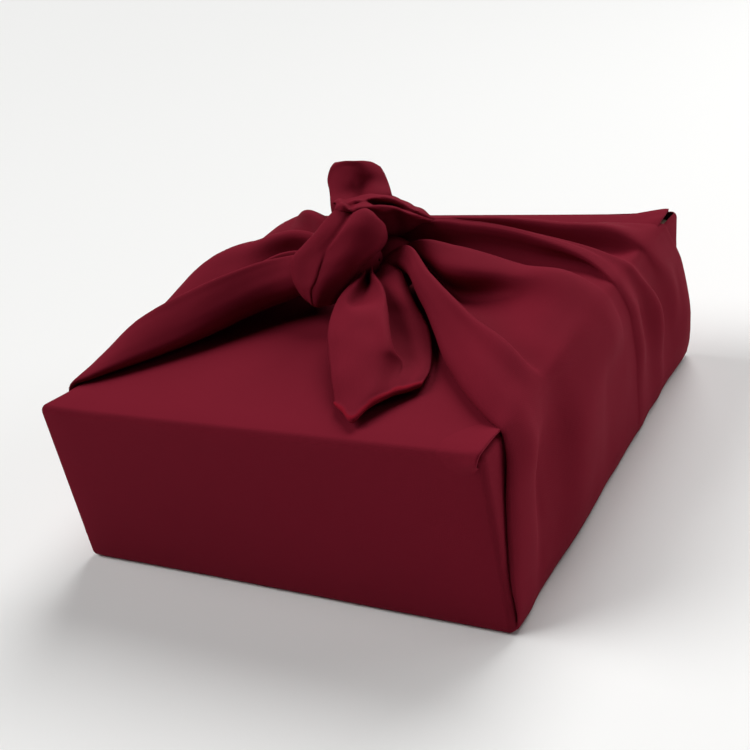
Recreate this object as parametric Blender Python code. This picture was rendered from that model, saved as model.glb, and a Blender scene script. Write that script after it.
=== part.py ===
"""Furoshiki wrap: one square cloth folded and tied round a flat closed box.

Metres, +Z up, origin at the centre of the underside of the wrap. The cloth is one thin
solid: a wrap with a front and a back flap over the lid, two gathered ears that rise over
the left and right sides, and the knot that ties them, with its front and back tails.
The plain box inside is what the cloth is drawn tight over.
"""
import math

import bmesh
import bpy
import numpy as np
from mathutils import Vector

MM = 0.001

# ---------------------------------------------------------------- driving sizes (metres)
WIDTH = 0.2500           # outside of the wrap, left to right
DEPTH = 0.2680           # outside of the wrap, front to back
HEIGHT = 0.0941          # underside to the top of the front flap
CLOTH = 0.0012           # thickness of the cloth as built
GAP = 0.0003             # air between a layer and the next
EDGE_RADIUS = 0.0030     # outside radius of the wrapped edges
BOX_CLEAR = 0.0008       # air between the cloth and the sides of the box
SIDE_STRIP = 0.0390      # how far the front and back cloth turns round onto each side
FLAP_FULL = 0.0430       # y where the front flap stops being full width
FLAP_TIP = 0.1040        # y of the folded tip of the front flap
FLAP_TIP_HALF = 0.0250   # half width of that tip
BACK_FLAP_FULL = -0.0350
BACK_FLAP_TIP = -0.1080
SIDE_SHEET = 0.1259      # x of the middle of the cloth on a side

# ---------------------------------------------------------------- the two ears
# One row for each fold, front to back, in millimetres. knot, near, mid and edge are the
# places where the fold crosses x = 20, 45, 80 and 118: y, and height above the lid.
# corner, high and low are on the side, at the lid, at 62 and at 25 above the floor: y,
# and how far the cloth stands out. foot is the fold's y at the floor.
EAR_COLUMNS = ("fold", "knot_y", "knot_z", "near_y", "near_z", "mid_y", "mid_z", "edge_y",
               "edge_z", "corner_y", "corner_out", "high_y", "high_out", "low_y",
               "low_out", "foot_y")
RIGHT_EAR = (
    ("turned under", 8, 14, -10, 11, -52, 3.0, -93, 1.6, -99, .9, -106, -1.4, -118, -1.0, -119),
    ("front edge", -1, 16, -25, 13, -72, 5.0, -109, 2.2, -115, 1.3, -124, .5, -131, .4, -131),
    ("front lip", -3, 20, -25, 17.5, -71, 9.0, -109, 5.5, -114, 3.8, -120, 3.0, -127, 2.4, -129),
    ("front crown", 1, 25, -22, 23, -60, 13.0, -96, 8.5, -104, 5.0, -113, 3.6, -120, 2.6, -122),
    ("rear crown", 5, 28, -17, 25.5, -47, 15.0, -78, 9.0, -84, 4.6, -94, 2.6, -102, 1.8, -105),
    ("roll rim", 8, 30, -12.5, 25, -36.5, 15.0, -62, 8.0, -63, 4.2, -70, 2.0, -80, 1.2, -84),
    ("pocket side", 12, 25, -8.5, 18, -31, 10.0, -54, 5.0, -52, 3.0, -54, 1.6, -62, .9, -66),
    ("pocket floor", 16, 23, -1, 15, -14, 10.5, -32, 5.5, -33, 3.2, -34, 2.6, -40, 1.8, -44),
    ("second foot", 19, 23, 9, 18, 9, 13.5, -3, 8.0, -5, 5.0, -8, 3.8, -14, 2.2, -16),
    ("second rim", 23, 30, 21.5, 25, 19, 18.3, 12, 10.0, 9, 6.0, 14, 3.0, 12, 1.6, 10),
    ("second crease", 27, 28.5, 24, 24.5, 23, 17.0, 18, 8.2, 18, 3.8, 31, .8, 35, .6, 36),
    ("third front", 31, 33, 30, 32, 37, 24.0, 30, 9.8, 30, 5.6, 44, 4.8, 49, 3.6, 50),
    ("third top", 33, 34, 34, 32.6, 40, 23.6, 38, 8.8, 38, 4.4, 66, .9, 76, .6, 76),
    ("third rim", 35, 34, 38, 32, 43, 22.3, 46, 8.6, 47, 5.0, 88, 3.8, 101, 3.2, 98),
    ("third crease", 38, 29, 44, 27.5, 49, 17.0, 58, 6.0, 60, 3.0, 96, 1.2, 107, .9, 106),
    ("fourth rim", 42, 30, 53, 28, 64, 21.5, 72, 7.0, 78, 3.2, 107, 2.2, 115, 1.6, 115),
    ("back lip", 46, 24, 68, 19, 92, 10.5, 109, 6.2, 115, 4.8, 122, 3.4, 126, 2.8, 127),
    ("back edge", 43, 17, 70, 13, 98, 5.0, 120, 2.4, 125, 2.0, 129, .5, 131, .4, 131),
    ("back under", 34, 13, 58, 11, 86, 2.8, 104, 1.6, 109, .3, 115, -1.4, 118, -1.0, 119),
)
LEFT_EAR = (
    ("turned under", -10, 13, -4, 11, -42, 2.8, -84, 1.6, -94, .9, -104, -1.4, -117, -1.0, -119),
    ("front edge", -20, 16, -15, 13, -61, 3.6, -103, 1.8, -110, 1.3, -121, .5, -130, .4, -131),
    ("front lip", -24, 20, -22, 18, -66, 8.0, -104, 4.5, -110, 3.4, -117, 3.0, -126, 2.6, -128),
    ("front crown", -22, 25, -24, 23.5, -56, 13.5, -92, 7.0, -99, 5.0, -108, 3.4, -115, 2.4, -118),
    ("middle crown", -17, 30, -16, 28, -38, 19.5, -66, 11.0, -76, 9.0, -90, 4.2, -98, 2.4, -101),
    ("rear crown", -15, 32, -10, 29.5, -20, 22.0, -38, 12.5, -48, 10.5, -64, 4.4, -74, 2.2, -78),
    ("roll rim", -12, 33, -4, 28.5, -2, 22.5, -11, 12.0, -20, 10.5, -38, 4.8, -48, 2.4, -52),
    ("first crease", -9, 31, 1, 25.5, 6, 18.5, 0, 9.5, -8, 8.0, -24, 2.6, -34, 1.4, -38),
    ("second face", -6, 32, 5, 29, 18, 24.0, 16, 14.0, 8, 12.0, -6, 4.6, -16, 2.6, -20),
    ("second crown", -3, 34, 9, 33.5, 30, 29.0, 32, 17.5, 28, 13.0, 16, 5.4, 8, 3.0, 4),
    ("second crease", 1, 30, 18, 27, 44, 21.0, 52, 11.0, 50, 8.0, 42, 2.2, 38, 1.4, 36),
    ("third crown", 5, 32, 32, 33.5, 67, 25.5, 79, 10.5, 78, 6.6, 75, 4.0, 74, 2.4, 74),
    ("back lip", 10, 26, 50, 22, 90, 11.0, 109, 6.2, 115, 5.4, 121, 3.4, 126, 2.8, 127),
    ("back edge", 11, 18, 52, 13, 96, 5.0, 120, 2.4, 125, 2.0, 129, .5, 131, .4, 131),
    ("back under", 4, 13, 42, 11, 84, 2.8, 104, 1.6, 109, .3, 115, -1.4, 118, -1.0, 119),
)

# ---------------------------------------------------------------- the tie
# One row for each section, in millimetres, heights above the lid. Each point is where
# one guide line crosses the section.
BAND_COLUMNS = ("left edge", "fold line", "middle", "right edge")
KNOT_BAND = (
    ("start", (-17, 24, 47), (-12, 25, 46), (-7, 27, 44), (0, 27, 41)),
    ("top", (-11, 6, 52), (-3, 2, 50), (3, 5, 49), (10, 10, 42)),
    ("upper", (-15, -6, 49), (-5, -8, 46), (4, -9, 43), (14, 4, 38)),
    ("middle", (-22, -15, 44), (-9, -18, 42), (0, -19, 37), (11, -7, 33)),
    ("lower", (-27, -23, 38), (-12, -27, 35), (-6, -28, 29), (4, -20, 26)),
    ("bottom", (-32, -24, 30), (-17, -30, 26), (-12, -29, 21), (-5, -27, 15)),
    ("turn", (-34, -20, 18), (-24, -28, 17), (-21, -27, 12), (-15, -25, 9)),
    ("under", (-33, -11, 12), (-29, -11, 9), (-25, -11, 8), (-20, -12, 7)),
)
RIDGE_COLUMNS = ("back", "crest", "slit", "front ridge", "front turned under")
TOP_RIDGE = (
    ("left end", (-25, 21, 47), (-21, 16, 53), (-19, 14, 52), (-16, 11, 50), (-14, 13, 46)),
    ("left", (-16, 22, 48), (-12, 18, 54.5), (-11, 17, 52), (-7, 12, 51.5), (-7, 15, 45)),
    ("middle", (-9, 26, 47), (-4, 21, 54.5), (-4, 20.5, 50.5), (0, 15, 50.5), (0, 17, 43)),
    ("right", (-1, 30, 43), (3, 24, 51.5), (3, 24, 47.5), (7, 19, 47.5), (8, 20, 38)),
    ("shoulder", (6, 36, 37), (11, 29, 46.5), (10, 28.5, 43), (13, 24, 43), (13, 21, 31)),
    ("before tip", (12, 42, 29), (17, 36, 39), (17, 34, 37), (18, 31, 37), (15, 27, 27)),
    ("tip", (19, 48, 27), (24.5, 43.5, 31.8), (24, 41, 31.4), (22, 38, 30), (18, 35, 26)),
)
TAIL_COLUMNS = ("left edge", "left rim", "hollow", "fold", "crease", "right panel", "right edge")
FRONT_TAIL = (
    ("knot", (-4.5, -6.6, 27), (0.4, -6.4, 27), (2, -1.8, 25), (7.4, -3.5, 27), (9, 1.1, 25),
     (11.6, 3.5, 24), (14.5, 4.2, 22)),
    ("neck", (-0.4, -14.3, 23), (5.3, -15.9, 25), (6, -8, 19), (14, -15, 25), (13.5, -7, 20),
     (18, -6.3, 21), (21, -5.9, 18)),
    ("pinch", (-1.2, -29, 20), (9.4, -35, 21.5), (13, -27, 17.5), (26, -33, 23), (23.5, -24, 17),
     (28.5, -21.6, 17.5), (31.6, -20, 14)),
    ("lip", (3.4, -44.8, 18), (15.4, -49, 20.5), (28, -52, 21.5), (36.9, -47, 20.5),
     (32.5, -37, 14.5), (37, -32.4, 14.5), (39.4, -28.4, 11)),
    ("swell", (6.9, -55.7, 14.5), (23.7, -64.3, 18), (35.7, -64, 18.5), (43.8, -58, 17),
     (39.5, -48, 11.5), (45.6, -43.6, 11.5), (49.1, -37.2, 8.5)),
    ("middle", (13.2, -68, 10), (29.4, -76.3, 13), (40.9, -74, 13), (50.1, -66.7, 12),
     (46.8, -57.5, 7.5), (53.2, -50.3, 7), (60.3, -50, 4.5)),
    ("flare", (26.1, -89, 5.5), (43.1, -100, 8), (53.1, -91.8, 8.5), (59.6, -77.4, 7.5),
     (58.5, -70, 4.5), (63, -65.3, 4), (69.8, -65.5, 4)),
    ("hem", (41.5, -112.7, 4.5), (54.8, -120.6, 3), (61, -106, 4), (67.5, -96.8, 4),
     (69.2, -94, 3.5), (72.2, -92, 3.5), (75, -90.6, 3.5)),
)
BACK_COLUMNS = ("left edge", "left panel", "soft fold", "right panel", "right edge")
BACK_TAIL = (
    ("knot", (-22, 8, 38), (-16, 9, 37), (-9, 11, 36), (-4, 15, 36), (1, 20, 34)),
    ("base", (-26, 17, 51), (-18, 20, 50), (-10, 24, 50), (-4, 31, 49), (1.7, 36, 46.5)),
    ("rise", (-31, 25, 57), (-22, 28, 56.5), (-13.5, 31, 56), (-6, 37, 54), (-1, 41.5, 50)),
    ("upper", (-32.6, 29, 61.5), (-24, 32, 61.5), (-15.5, 35.5, 61), (-9, 41.5, 58.5), (-5, 47, 55)),
    ("bend", (-32, 36, 67), (-25, 38.5, 67.8), (-19, 41, 67.3), (-15, 44.5, 65), (-13, 48, 62)),
    ("over", (-33, 42, 64), (-27, 46, 64.5), (-22, 49, 63.5), (-18, 52, 61), (-16, 55, 58)),
    ("hanging", (-32, 48, 54), (-26, 52, 54), (-21, 55, 53), (-17, 57, 51), (-14, 59, 48)),
    ("hem", (-30, 52, 44), (-24, 55, 42), (-19, 57, 41), (-15, 59, 40), (-11, 60, 38)),
)
KNOT_HEARTS = (          # centre and half sizes of the rolled cloth inside the tie
    ("under the band", (-8, 0, 28), (21, 19, 17)),
    ("under the ridge", (4, 12, 29), (12, 17, 13)),
)
BAND_THICK = 0.0040
CORE_Y = {1: -4.5, -1: 1.0}   # how each ear is drawn across inside the knot, in millimetres
ALONG = 2                # spans of mesh between two places along a fold
ACROSS = 2               # spans of mesh between two folds


def curve_through(knots, rows, samples):
    """Smooth curve through rows of values, one for each knot, read at the samples."""
    t, v = np.asarray(knots, float), np.asarray(rows, float)
    h = np.diff(t)
    slope = np.diff(v, axis=0) / h.reshape(-1, *([1] * (v.ndim - 1)))
    tangent = np.empty_like(v)
    tangent[0], tangent[-1] = slope[0], slope[-1]
    for i in range(1, len(t) - 1):
        tangent[i] = (slope[i - 1] * h[i] + slope[i] * h[i - 1]) / (h[i - 1] + h[i])
    out = []
    for s in samples:
        i = int(min(max(np.searchsorted(t, s) - 1, 0), len(t) - 2))
        u = (s - t[i]) / h[i]
        out.append((2 * u ** 3 - 3 * u ** 2 + 1) * v[i] + (u ** 3 - 2 * u ** 2 + u) * h[i] * tangent[i]
                   + (3 * u ** 2 - 2 * u ** 3) * v[i + 1] + (u ** 3 - u ** 2) * h[i] * tangent[i + 1])
    return np.array(out)


def steps_between(knots, count):
    """Each span of the knots cut into count equal steps, with the last knot."""
    cuts = [a + (b - a) * k / count for a, b in zip(knots[:-1], knots[1:]) for k in range(count)]
    return cuts + [knots[-1]]


def ear_fold(row, side):
    """Points along one fold, from the heart of the knot to the foot of the side."""
    r = dict(zip(EAR_COLUMNS, row))
    top, wall = HEIGHT / MM, SIDE_SHEET / MM
    out, low = r["corner_out"], r["low_out"]
    points = [
        (7, .85 * r["knot_y"] + CORE_Y[side], top + 4 + .85 * r["knot_z"]),
        (20, r["knot_y"], top + r["knot_z"]),
        (45, r["near_y"], top + r["near_z"]),
        (80, r["mid_y"], top + r["mid_z"]),
        (118, r["edge_y"], top + r["edge_z"]),
        (125 + .7 * out, r["corner_y"], top + .7 * out),
        (wall + .7 * out + .3 * r["high_out"], .72 * r["corner_y"] + .28 * r["high_y"], top - 9),
        (wall + r["high_out"], r["high_y"], 62),
        (wall + r["low_out"], r["low_y"], 25),
        (wall - .4 + .85 * low, r["foot_y"], 7),
        (wall - 1.6 + (.8 if low > 0 else .42) * low, r["foot_y"], 2.2),
    ]
    return np.array([(side * x, y, z) for x, y, z in points]) * MM


def ear_surface(table, side):
    """Grid of points over one ear: rows run across the folds, columns along them."""
    folds = np.array([ear_fold(row, side) for row in table])
    along = np.concatenate([[0], np.cumsum(np.linalg.norm(np.diff(folds, axis=1), axis=2).mean(axis=0))])
    across = np.concatenate([[0], np.cumsum(np.sqrt(np.linalg.norm(np.diff(folds, axis=0), axis=2)).mean(axis=1))])
    fine = curve_through(along, folds.transpose(1, 0, 2), steps_between(list(along), ALONG))
    return curve_through(across, fine.transpose(1, 0, 2), steps_between(list(across), ACROSS))


def guided_grid(table, along, across):
    """Grid of points through the guide lines of a table of sections."""
    rows = np.array([row[1:] for row in table], float) * MM
    rows[:, :, 2] += HEIGHT
    t = np.concatenate([[0], np.cumsum(np.linalg.norm(np.diff(rows, axis=0), axis=2).mean(axis=1))])
    u = np.concatenate([[0], np.cumsum(np.sqrt(np.linalg.norm(np.diff(rows, axis=1), axis=2)).mean(axis=0))])
    fine = curve_through(t, rows, steps_between(list(t), along))
    return curve_through(u, fine.transpose(1, 0, 2), steps_between(list(u), across))


def heart(name, centre, radii):
    """A rounded lump of rolled cloth."""
    bm = bmesh.new()
    bmesh.ops.create_uvsphere(bm, u_segments=16, v_segments=9, radius=1.0)
    for v in bm.verts:
        v.co = Vector(((c + r * k) * MM for c, r, k in zip(centre, radii, v.co)))
        v.co.z += HEIGHT
    return object_from(bm, name)


def sheet_object(name, grid, thickness, turn=False, offset=0.0):
    """A grid of points made a sheet of even thickness."""
    bm = bmesh.new()
    verts = [[bm.verts.new(p) for p in row] for row in grid]
    for i in range(len(verts) - 1):
        for j in range(len(verts[0]) - 1):
            quad = [verts[i][j], verts[i][j + 1], verts[i + 1][j + 1], verts[i + 1][j]]
            bm.faces.new(quad[::-1] if turn else quad)
    obj = object_from(bm, name)
    solid = obj.modifiers.new("Cloth", "SOLIDIFY")
    solid.thickness, solid.offset = thickness, offset
    return obj


def object_from(bm, name):
    mesh = bpy.data.meshes.new(name)
    bm.to_mesh(mesh)
    bm.free()
    obj = bpy.data.objects.new(name, mesh)
    bpy.context.collection.objects.link(obj)
    return obj


def block(name, low, high, bevel=0.0, segments=3):
    """A box between two corners, its edges rounded."""
    bm = bmesh.new()
    bmesh.ops.create_cube(bm, size=1.0)
    low, high = Vector(low), Vector(high)
    for v in bm.verts:
        v.co = Vector((a + (b - a) * (c + .5) for a, b, c in zip(low, high, v.co)))
    if bevel:
        bmesh.ops.bevel(bm, geom=bm.edges[:], offset=bevel, affect="EDGES", segments=segments,
                        profile=0.5, material=-1)
    return object_from(bm, name)


def prism(name, outline, z0, z1):
    """An outline in x and y, counter-clockwise, raised from z0 to z1."""
    bm = bmesh.new()
    face = bm.faces.new([bm.verts.new((x, y, z0)) for x, y in outline])
    face.normal_flip()
    top = bmesh.ops.extrude_face_region(bm, geom=[face])
    for v in (g for g in top["geom"] if isinstance(g, bmesh.types.BMVert)):
        v.co.z = z1
    bmesh.ops.recalc_face_normals(bm, faces=bm.faces[:])
    return object_from(bm, name)


def combine(target, other, operation):
    """Boolean the other object into the target and drop the other."""
    mod = target.modifiers.new("Join", "BOOLEAN")
    mod.operation, mod.solver, mod.object = operation, "EXACT", other
    mod.use_self = False
    freeze(target)
    bpy.data.objects.remove(other, do_unlink=True)


def freeze(obj):
    """Replace an object's mesh with the one its modifiers make."""
    bpy.context.view_layer.update()
    mesh = bpy.data.meshes.new_from_object(obj.evaluated_get(bpy.context.evaluated_depsgraph_get()))
    obj.modifiers.clear()
    old, obj.data = obj.data, mesh
    bpy.data.meshes.remove(old)


def material(name, colour, roughness, sheen=0.0):
    mat = bpy.data.materials.new(name)
    mat.use_nodes = True
    bsdf = mat.node_tree.nodes["Principled BSDF"]
    bsdf.inputs["Base Color"].default_value = (*colour, 1.0)
    bsdf.inputs["Roughness"].default_value = roughness
    bsdf.inputs["Metallic"].default_value = 0.0
    bsdf.inputs["Sheen Weight"].default_value = sheen
    return mat


def build_wrap():
    """Bottom, front, back, front flap and the strips that turn onto the sides."""
    half_w, half_d = WIDTH / 2, DEPTH / 2
    shell = block("furoshiki_cloth", (-half_w, -half_d, 0), (half_w, half_d, HEIGHT), EDGE_RADIUS)
    inner = block("hollow", (-half_w + CLOTH, -half_d + CLOTH, CLOTH),
                  (half_w - CLOTH, half_d - CLOTH, HEIGHT - CLOTH), EDGE_RADIUS - CLOTH)
    combine(shell, inner, "DIFFERENCE")
    window = block("side window", (-half_w - .01, -half_d + SIDE_STRIP, EDGE_RADIUS),
                   (half_w + .01, half_d - SIDE_STRIP, HEIGHT - CLOTH - .0015))
    combine(shell, window, "DIFFERENCE")
    for side in (-1, 1):
        edge = side * (half_w - EDGE_RADIUS)
        outline = [(edge, -half_d + SIDE_STRIP), (side * .14, -half_d + SIDE_STRIP),
                   (side * .14, half_d - SIDE_STRIP), (edge, half_d - SIDE_STRIP)]
        if side < 0:
            outline.reverse()
        combine(shell, prism("top edge cut", outline, HEIGHT - .006, HEIGHT + .01), "DIFFERENCE")
        slope = [(side * FLAP_TIP_HALF, FLAP_TIP), (edge, FLAP_FULL),
                 (edge, half_d - SIDE_STRIP + .01), (side * FLAP_TIP_HALF, FLAP_TIP + .006)]
        if side < 0:
            slope.reverse()
        combine(shell, prism("flap cut", slope, HEIGHT - .006, HEIGHT + .01), "DIFFERENCE")
    tip = [(-.03, FLAP_TIP), (.03, FLAP_TIP), (.03, FLAP_TIP + .006), (-.03, FLAP_TIP + .006)]
    combine(shell, prism("tip cut", tip, HEIGHT - .006, HEIGHT + .01), "DIFFERENCE")
    return shell


def build_back_flap():
    """The lower flap: it leaves the back edge, steps down and lies under the front flap."""
    upper, lower = HEIGHT - CLOTH / 2 - .00005, HEIGHT - CLOTH * 1.5 - GAP
    profile = [(.1240, upper), (.1160, upper), (.1085, lower), (BACK_FLAP_TIP, lower)]
    wide = WIDTH / 2 - EDGE_RADIUS
    grid = []
    for k in range(9):
        u = k / 4 - 1
        row = []
        for y, z in profile:
            row.append((u * wide, y, z))
            if y == profile[2][0]:
                row.append((u * wide, BACK_FLAP_FULL, z))
        tip = row[-1]
        row[-1] = (u * .03, tip[1], tip[2])
        grid.append(row)
    return sheet_object("back flap", grid, CLOTH - .0001, turn=True)


def main():
    for obj in list(bpy.data.objects):
        bpy.data.objects.remove(obj, do_unlink=True)

    cloth = build_wrap()
    parts = [build_back_flap(),
             sheet_object("right ear", ear_surface(RIGHT_EAR, 1), CLOTH, turn=True),
             sheet_object("left ear", ear_surface(LEFT_EAR, -1), CLOTH),
             sheet_object("band", guided_grid(KNOT_BAND, 2, 3), BAND_THICK, offset=-1.0),
             sheet_object("ridge", guided_grid(TOP_RIDGE, 2, 2), CLOTH),
             sheet_object("front tail", guided_grid(FRONT_TAIL, 2, 2), CLOTH),
             sheet_object("back tail", guided_grid(BACK_TAIL, 2, 2), CLOTH)]
    parts += [heart(*row) for row in KNOT_HEARTS]
    for part in parts:
        freeze(part)
        combine(cloth, part, "UNION")
    cloth.data.materials.clear()
    cloth.data.materials.append(material("burgundy_cloth", (.085, .004, .012), .72, .3))
    cloth.data.shade_smooth()
    cloth.data.set_sharp_from_angle(angle=math.radians(50))

    box = block("wrapped_box",
                (-WIDTH / 2 + CLOTH + BOX_CLEAR, -DEPTH / 2 + CLOTH + BOX_CLEAR, CLOTH + GAP),
                (WIDTH / 2 - CLOTH - BOX_CLEAR, DEPTH / 2 - CLOTH - BOX_CLEAR,
                 HEIGHT - 2 * CLOTH - 2 * GAP - .0002), .0020)
    box.data.materials.append(material("plain_board", (.62, .50, .36), .85))


main()
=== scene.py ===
"""A furoshiki wrap: one square burgundy cloth folded and tied round a flat box.

The cloth is one sheet with real thickness. Its surface is drawn through guide folds: a
shell over the box, two flaps over the lid, a fold over two of the lid's corners, two
gathered ears, and the tie with its band, its crumpled ridge, a front tail and a back tail.
A rolled hem stands proud along its cut edges.
"""
import logging
import math
from dataclasses import dataclass, field, replace
from enum import Enum
from typing import Any, Sequence

import bmesh
import bpy
import numpy as np
from mathutils import Matrix, Vector, noise


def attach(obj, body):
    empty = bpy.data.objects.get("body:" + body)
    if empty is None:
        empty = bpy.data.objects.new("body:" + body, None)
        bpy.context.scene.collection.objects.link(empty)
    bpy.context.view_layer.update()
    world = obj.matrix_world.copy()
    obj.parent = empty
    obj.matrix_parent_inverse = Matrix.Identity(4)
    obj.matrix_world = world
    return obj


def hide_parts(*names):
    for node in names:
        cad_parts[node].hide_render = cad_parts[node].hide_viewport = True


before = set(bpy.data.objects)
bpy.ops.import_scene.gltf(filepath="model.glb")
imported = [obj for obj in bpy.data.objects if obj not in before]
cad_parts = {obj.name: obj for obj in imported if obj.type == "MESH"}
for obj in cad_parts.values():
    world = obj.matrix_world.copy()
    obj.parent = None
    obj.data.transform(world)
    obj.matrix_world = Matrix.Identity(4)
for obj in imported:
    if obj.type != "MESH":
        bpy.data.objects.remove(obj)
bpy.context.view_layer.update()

MM = 0.001
OFF_LID = -1.0
HEM_CUTS = (0.0, 0.5, 1.0)
log = logging.getLogger("furoshiki")

Row = tuple[Any, ...]
Table = tuple[Row, ...]
Point = tuple[float, float, float]


class Side(Enum):
    """The two sides of the box that an ear rises over; the value turns x."""

    RIGHT = 1
    LEFT = -1


class LampKind(Enum):
    """A window is far off and lights evenly; a soft box stands near."""

    WINDOW = "SUN"
    SOFT_BOX = "AREA"


@dataclass(frozen=True)
class WrapSize:
    """Sizes of the wrapped box, in metres."""

    width: float = 0.2500
    depth: float = 0.2680
    height: float = 0.0941
    edge_radius: float = 0.0034
    flap_full: float = 0.043
    flap_tip: float = 0.104
    flap_tip_half: float = 0.025
    back_flap_full: float = -0.035
    back_flap_tip: float = -0.108
    back_flap_tip_half: float = 0.03
    side_sheet: float = 0.1259


@dataclass(frozen=True)
class SheetFinish:
    """Thickness of the cloth and of its hem, in metres."""

    cloth: float = 0.0009
    hem: float = 0.0026
    hem_width: float = 0.0040


# One row for each fold, front to back, in millimetres. knot, near, mid and edge are where
# the fold crosses those x of EAR_X: y, and height above the lid. corner, high and low are
# on the side, at the lid and at those heights of SIDE_Z: y, and how far the cloth stands
# out. foot is the fold's y at the floor.
EAR_COLUMNS = ("fold", "knot_y", "knot_z", "near_y", "near_z", "mid_y", "mid_z", "edge_y",
               "edge_z", "corner_y", "corner_out", "high_y", "high_out", "low_y",
               "low_out", "foot_y")
RIGHT_EAR: Table = (
    ("turned under", 10, 15, -8, 9, -50, 2.2, -93, 1.0, -99, .9, -106, -1.4, -118, -1.0, -119),
    ("front edge", .5, 21.5, -24.5, 12.5, -70, 3.6, -108.5, 1.4, -115, 1.0, -124, .5, -131, .4, -131),
    ("front lip", -1, 24.5, -26, 17.5, -70.5, 7.4, -108.5, 3.8, -114, 3.2, -120, 3.0, -127, 1.8, -129),
    ("front crown", 2, 28, -24, 22.5, -61, 12.8, -96, 8.4, -101, 6.6, -104, 4.6, -112, 2.4, -117),
    ("rear crown", 6, 30.5, -19.5, 25.6, -51, 17.2, -83, 9.4, -86, 3.4, -92, -.6, -100, -.2, -106),
    ("roll rim", 9, 31, -14.3, 27.0, -44.5, 20.0, -71, 11.6, -74, 1.2, -84, -.6, -92, -.2, -98),
    ("pocket side", 13, 25, -8.5, 17, -36, 8.8, -62, 3.4, -63, .6, -68, 1.6, -76, 1.0, -82),
    ("pocket floor", 17, 18, -2, 8.5, -19, 5.2, -42, 4.8, -44, 3.8, -49, 7.6, -55, 4.6, -60),
    ("under second", 19, 18, 7, 8, 1, 7.6, -18, 8.4, -21, 6.2, -25, 7.4, -31, 4.2, -34),
    ("second foot", 18, 23, 2.7, 21.0, 4, 16.8, 0, 12.2, -4, 7.6, -10, 5.4, -14, 2.8, -16),
    ("second top", 19, 27.5, 12, 25.0, 12.5, 18.4, 9, 12.2, 5, 7.8, 4, 5.0, 2, 2.6, 0),
    ("second rim", 20, 28.6, 22, 25.4, 21, 16.0, 17, 9.2, 13, 6.4, 15, 4.8, 14, 2.4, 12),
    ("second back", 23, 24, 25.5, 18, 25, 10.5, 23, 5.4, 18, 4.6, 22, 4.4, 22, 2.2, 20),
    ("second crease", 27, 22, 33, 18, 36, 10.5, 33, 4.6, 26, 4.0, 31, 3.9, 32, 1.9, 30),
    ("third under", 29, 26, 37, 23, 40.5, 15, 37, 5.4, 28, 4.4, 37, 3.9, 39, 1.9, 38),
    ("third front", 31, 33, 37, 29.8, 38.5, 22.5, 34, 8.2, 29, 5.2, 38, 4.6, 40, 2.2, 39),
    ("third top", 33, 34, 39.5, 31.3, 41, 24, 40, 8.6, 33, 6.2, 44, 6.4, 46, 2.8, 45),
    ("third dip", 34, 34, 41, 31.3, 43, 23.8, 49, 6.2, 46, 2.6, 63, .4, 67, .3, 64),
    ("third rim", 35, 34, 42, 31, 44.5, 23, 55, 6.4, 53, 5.4, 75, 7.2, 82, 2.2, 79),
    ("third back", 38, 28, 46, 24, 49, 14, 60, 2.8, 59, 1.4, 84, .4, 92, .2, 89),
    ("fourth under", 41, 29, 53, 22, 63, 8.0, 73, 1.2, 74, 1.2, 95, .3, 104, .2, 102),
    ("fourth rim", 42, 31, 53, 28.5, 67, 19.5, 78, 9.0, 79, 4.6, 106, 4.4, 113, 1.6, 112),
    ("fourth top", 44, 28, 60, 25.5, 80, 15, 94, 6.0, 98, 3.6, 115, 3.6, 122, 3.2, 122),
    ("back lip", 46, 24, 68, 19, 92, 9.5, 103, 4.2, 106, 2.2, 122, 3.4, 129, 4.0, 130),
    ("back edge", 43, 17, 70, 13, 98, 4.4, 109, 1.6, 112, 1.0, 131, 2.2, 136, 3.4, 137),
    ("back under", 34, 13, 58, 11, 86, 2.8, 96, 1.2, 100, .2, 113, -1.0, 118, -.6, 119),
)
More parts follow.
